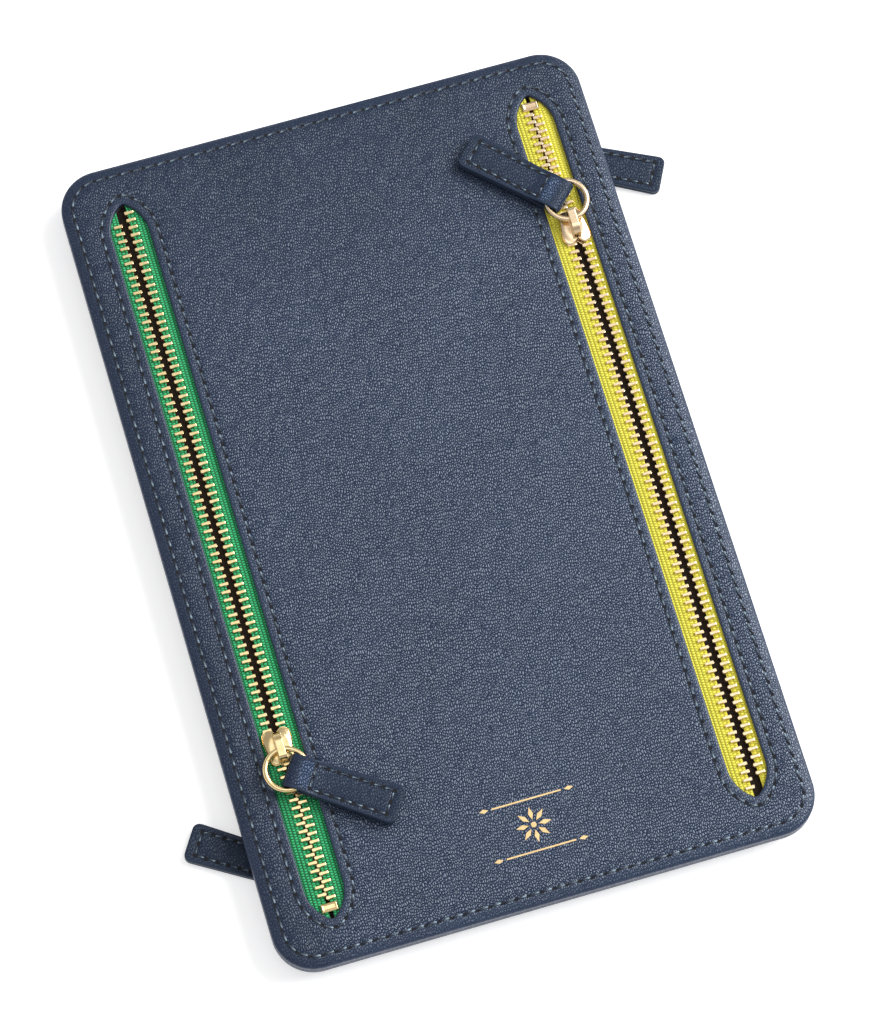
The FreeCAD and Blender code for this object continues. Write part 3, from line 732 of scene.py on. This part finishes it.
def soft_metal(name, rounds, look, body, middle, closing, side, press):
    """A cast part: the CAD solid with its corners rounded, pressed into shape and polished."""
    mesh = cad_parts[name].data.copy()
    mesh.name = name + "_cast"
    piece = bpy.data.objects.new(name + "_cast", mesh)
    bpy.context.scene.collection.objects.link(piece)
    add_weld(piece)
    remesh = piece.modifiers.new("remesh", "REMESH")
    remesh.mode = "VOXEL"
    remesh.voxel_size = VOXEL * MM
    done = applied(piece)
    flat = np.empty(3 * len(done.vertices))
    done.vertices.foreach_get("co", flat)
    points = flat.reshape(-1, 3) / MM
    out, u, w = ((points - middle) * (1, closing, side)).T
    points[:, 2] += side * press(out, u, w)
    done.vertices.foreach_set("co", (points * MM).ravel())
    piece.data = done
    relax = piece.modifiers.new("relax", "SMOOTH")
    relax.factor = 0.5
    relax.iterations = rounds
    done = applied(piece)
    piece.data = done
    done.materials.clear()
    done.materials.append(LOOKS[look])
    done.polygons.foreach_set("use_smooth", [True] * len(done.polygons))
    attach(piece, body)
    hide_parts(name)


def make_ring(name, centre, look):
    """A round wire ring with a fine butt joint."""
    around, sides = 120, 24
    points = []
    for i in range(around):
        turn = 2 * math.pi * i / around
        joint = min(abs(i - around * 0.4), 3)
        wire = WIRE_RADIUS - (0.05 if joint < 1 else 0.0)
        for j in range(sides):
            lean = 2 * math.pi * j / sides
            out = RING_RADIUS + wire * math.cos(lean)
            points.append((centre[0] + out * math.cos(turn), centre[1] + out * math.sin(turn),
                           centre[2] + wire * math.sin(lean)))
    faces = []
    for i in range(around):
        for j in range(sides):
            k, m = (i + 1) % around, (j + 1) % sides
            faces.append((i * sides + j, k * sides + j, k * sides + m, i * sides + m))
    ring = make_piece(name + "_wire_ring", points, faces, look, name + "_ring")
    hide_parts(name + "_ring")


# ---------------------------------------------------------------- tabs
# The folded strip's path: distance from the ring's centre, height and thickness
TAB_PATH = ((29.8, -1.07, 1.24), (20.0, -1.07, 1.24), (10.5, -1.08, 1.22), (8.6, -1.13, 1.12),
            (7.2, -1.22, 0.94), (5.4, -1.27, 0.84), (3.2, -1.27, 0.84), (2.0, -1.22, 0.86),
            (1.25, -1.02, 0.9), (0.72, -0.6, 0.92), (0.52, 0.0, 0.92), (0.72, 0.6, 0.92),
            (1.25, 1.02, 0.9), (2.0, 1.22, 0.86), (3.2, 1.27, 0.84), (5.2, 1.22, 0.86),
            (6.6, 0.98, 0.92), (7.8, 0.62, 1.04), (9.2, 0.33, 1.18), (11.0, 0.27, 1.22),
            (20.0, 0.27, 1.24), (29.8, 0.27, 1.24))
TAB_CROSS_STITCH = 6.9
TAB_SIDE_STITCH = 3.15
TAB_FAR_STITCH = 27.2


def tab_half_width(d):
    half = 4.3 + 0.85 * max(d, 0) / TAB_LENGTH
    corner = 1.8
    past = d - (TAB_LENGTH - corner)
    if past > 0:
        half -= corner - math.sqrt(max(corner ** 2 - past ** 2, 0.0)) * 0.98
    return half


def tab_sections():
    """Evenly spaced places along the strip's path, finer at its ends."""
    path = np.array(TAB_PATH)
    knots = np.arange(len(path))
    fine = np.linspace(0, len(path) - 1, 900)
    smooth = np.column_stack([np.interp(fine, knots, path[:, k]) for k in range(3)])
    for _ in range(60):
        smooth[1:-1] = 0.25 * smooth[:-2] + 0.5 * smooth[1:-1] + 0.25 * smooth[2:]
    gaps = np.linalg.norm(np.diff(smooth[:, :2], axis=0), axis=1)
    run = np.concatenate([[0], np.cumsum(gaps)])
    ends = np.array([0.0, 0.05, 0.14, 0.3, 0.55, 0.85, 1.2, 1.6, 2.0])
    body = np.arange(2.4, run[-1] - 2.4, 0.42)
    wanted = np.concatenate([ends, body, run[-1] - ends[::-1]])
    return np.column_stack([np.interp(wanted, run, smooth[:, k]) for k in range(3)])


def make_tab(name, centre, angle):
    """A leather strip folded round the ring and sewn to itself, with painted edges."""
    sections = tab_sections()
    turn = math.radians(angle)
    outward = np.array([math.cos(turn), math.sin(turn), 0])
    across = np.array([-math.sin(turn), math.cos(turn), 0])
    up = np.array([0, 0, 1.0])
    centre = np.array(centre, float)
    spans = np.linspace(-1, 1, 19)
    bends = np.linspace(90, -90, 9)[1:-1]
    points, paint = [], []
    total = len(sections)
    for number, (d, height, thick) in enumerate(sections):
        before = sections[max(number - 1, 0)]
        after = sections[min(number + 1, total - 1)]
        along = np.array([after[0] - before[0], after[1] - before[1]])
        along /= np.linalg.norm(along)
        out_d, out_h = -along[1], along[0]  # away from the fold's inside
        half = tab_half_width(min(d, TAB_LENGTH - 0.02))
        to_end = TAB_LENGTH - d
        if to_end < 0.35:
            thick *= 0.62 + 0.38 * math.sqrt(1 - (1 - to_end / 0.35) ** 2)
        upper = number > total / 2
        round_edge = min(0.42, thick * 0.45)
        loop = []
        for span in spans:
            e = span * (half - round_edge)
            gap = min(abs(abs(e) - TAB_SIDE_STITCH) if TAB_CROSS_STITCH < d < TAB_FAR_STITCH else 9,
                      abs(d - TAB_CROSS_STITCH) if abs(e) < 3.3 else 9,
                      abs(d - TAB_FAR_STITCH) if abs(e) < 3.3 else 9)
            sink = 0.16 * math.exp(-(gap / 0.55) ** 2) if (upper or d > 6) else 0
            crown = 0.10 * (1 - span ** 2) if upper else 0.0
            loop.append((e, thick / 2 - sink + crown - 0.05 * (1 if upper else 0)))
            # bent marks the creased band by the fold; paint goes below 0 there, for a painted
            # highlight on the raised grain
            bent = 0.9 * math.exp(-((d - (4.9 if upper else 0.0)) / 1.5) ** 4) if d < 9 else 0.0
            edge = float(smoothstep(abs(e), half - 1.0, half - 0.6))
            paint.append(edge - bent * (1 - edge))
        for bend in bends:
            a = math.radians(bend)
            loop.append((half - round_edge + round_edge * math.cos(a), thick / 2 * math.sin(a)))
            paint.append(1.0)
        for e in (half - round_edge, 0.0, -half + round_edge):
            loop.append((e, -thick / 2))
            paint.append(0.0)
        for bend in bends[::-1]:
            a = math.radians(bend)
            loop.append((-half + round_edge - round_edge * math.cos(a), thick / 2 * math.sin(a)))
            paint.append(1.0)
        for e, away in loop:
            place_d = d + out_d * away
            place_h = height + out_h * away
            place_h = max(place_h, TAB_UNDER)
            points.append(centre + outward * place_d + across * e + up * place_h)
    count = len(points) // total
    faces = strip_faces(total, count)
    faces += [tuple(range(count))[::-1], tuple(range(len(points) - count, len(points)))]
    tab = make_piece(name + "_leather_tab", points, faces, "tab", name + "_tab", paint)
    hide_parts(name + "_tab")

    upper = sections[total // 2 + 4:]

    def place(d, e, top):
        if top:
            h = np.interp(d, upper[:, 0], upper[:, 1] + upper[:, 2] / 2) - 0.09
        else:
            h = TAB_UNDER + 0.29
        return centre + outward * d + across * e + up * h

    for top, label in ((True, "top"), (False, "under")):
        corners = [(TAB_CROSS_STITCH, -TAB_SIDE_STITCH), (TAB_FAR_STITCH, -TAB_SIDE_STITCH),
                   (TAB_FAR_STITCH, TAB_SIDE_STITCH), (TAB_CROSS_STITCH, TAB_SIDE_STITCH)]
        places, holes = [], []
        for index, start in enumerate(corners):
            start = np.array(start)
            end = np.array(corners[(index + 1) % 4])
            length = np.linalg.norm(end - start)
            number = max(1, round(length / TAB_PITCH))
            way = (end - start) / length
            direction = outward * way[0] + across * way[1]
            normal = up if top else -up
            for k in range(number):
                middle = start + (end - start) * (k + 0.5) / number
                hole = start + (end - start) * k / number
                places.append((place(*middle, top), direction, normal))
                holes.append((place(*hole, top), direction, normal))
        sew(f"{name}_tab_{label}_stitches", places, holes, name + "_tab", TAB_PITCH, 0.19)


# ---------------------------------------------------------------- build
FRONT_SLOTS = tuple(z[0] for z in ZIPS.values() if z[1] > 0)
BACK_SLOTS = tuple(z[0] for z in ZIPS.values() if z[1] < 0)

leather_panel(1, FRONT_SLOTS)
leather_panel(-1, BACK_SLOTS)
painted_edge()

for zip_name, (x, side, closing, slider_u, shift, angle, tape) in ZIPS.items():
    metal = "gold" if tape == "green" else "pale_gold"
    for row in (-1, 1):
        make_tape(zip_name, x, side, closing, slider_u, shift, tape, row)
    level = tape_level(side)
    soft_metal(zip_name + "_slider", 7, metal, zip_name + "_slider",
               (x + shift, closing * slider_u, level), closing, side, domed)
    soft_metal(zip_name + "_box_stop", 3, metal, "wallet",
               (x, closing * STOP_MIDDLE, level), closing, side, framed)
    centre = (x + shift, closing * (slider_u - PULL_BACK), level + side * PULL_LEVEL)
    make_ring(zip_name, centre, metal)
    make_tab(zip_name, centre, angle)
    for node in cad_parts:
        if node.startswith(zip_name) and "teeth" in node:
            teeth = dress(node, metal)
            add_weld(teeth)
            bevel = teeth.modifiers.new("bevel", "BEVEL")
            bevel.width = TOOTH_BEVEL * MM
            bevel.segments = 2
            bevel.limit_method = "ANGLE"
            bevel.angle_limit = math.radians(25)

for node, look in (("front_lining", "lining"), ("back_lining", "lining"),
                   ("front_spacer", "lining"), ("back_spacer", "lining"),
                   ("centre_divider", "lining"), ("foil_ornament", "foil")):
    dress(node, look)

# ---------------------------------------------------------------- stage, light and camera
floor_look = Look("paper_floor", (0.92, 0.92, 0.92), 0.85, Emission_Color=(1, 1, 1, 1),
                  Emission_Strength=0.48)
floor_look.bump(floor_look.noise(0.6, 2.0), 0.02)
bpy.ops.mesh.primitive_plane_add(size=6.0, location=(0, 0, 0))
floor = bpy.context.object
floor.name = "floor"
floor.data.materials.append(floor_look.material)

world = bpy.data.worlds.new("studio")
bpy.context.scene.world = world
world.use_nodes = True
tree = world.node_tree
background = tree.nodes["Background"]
direction = tree.nodes.new("ShaderNodeTexCoord")
split = tree.nodes.new("ShaderNodeSeparateXYZ")
ramp_node = tree.nodes.new("ShaderNodeValToRGB")
tree.links.new(direction.outputs["Generated"], split.inputs[0])
tree.links.new(split.outputs["Z"], ramp_node.inputs["Fac"])
tree.links.new(ramp_node.outputs["Color"], background.inputs["Color"])
levels = ((0.0, 0.80), (0.35, 0.75), (0.55, 0.42), (0.86, 0.40), (0.93, 0.90), (0.985, 1.75))
stops = ramp_node.color_ramp.elements
for place, grey in levels:
    stop = stops.new(place)
    stop.color = (grey, grey, grey * 1.01, 1)
stops.remove(stops[0])
stops.remove(stops[-1])
background.inputs["Strength"].default_value = 0.85


def soft_light(name, place, size, power):
    """A soft rectangular light that points at the wallet."""
    data = bpy.data.lights.new(name, "AREA")
    data.shape = "RECTANGLE"
    data.size, data.size_y = size
    data.energy = power
    light = bpy.data.objects.new(name, data)
    bpy.context.scene.collection.objects.link(light)
    light.location = place
    light.rotation_euler = (-Vector(place)).to_track_quat("-Z", "Y").to_euler()


soft_light("key", (1.15, 0.20, 1.05), (1.15, 1.15), 28.0)

AZIMUTH = math.radians(20.776)
ELEVATION = math.radians(72.507)
ROLL = math.radians(4.3615)
DISTANCE = 1.0861
AIM = Vector((0.00117, -0.00421, 9.6 * MM))
camera_data = bpy.data.cameras.new("camera")
camera_data.sensor_width = 36.0
camera_data.lens = 151.02
camera = bpy.data.objects.new("camera", camera_data)
bpy.context.scene.collection.objects.link(camera)
forward = Vector((math.sin(AZIMUTH) * math.cos(ELEVATION),
                  math.cos(AZIMUTH) * math.cos(ELEVATION), -math.sin(ELEVATION)))
camera.location = AIM - forward * DISTANCE
camera.rotation_mode = "QUATERNION"
aim_turn = forward.to_track_quat("-Z", "Y")
camera.rotation_quaternion = aim_turn @ Quaternion((0, 0, 1), ROLL)
bpy.context.scene.camera = camera
bpy.context.scene.view_settings.view_transform = "Standard"
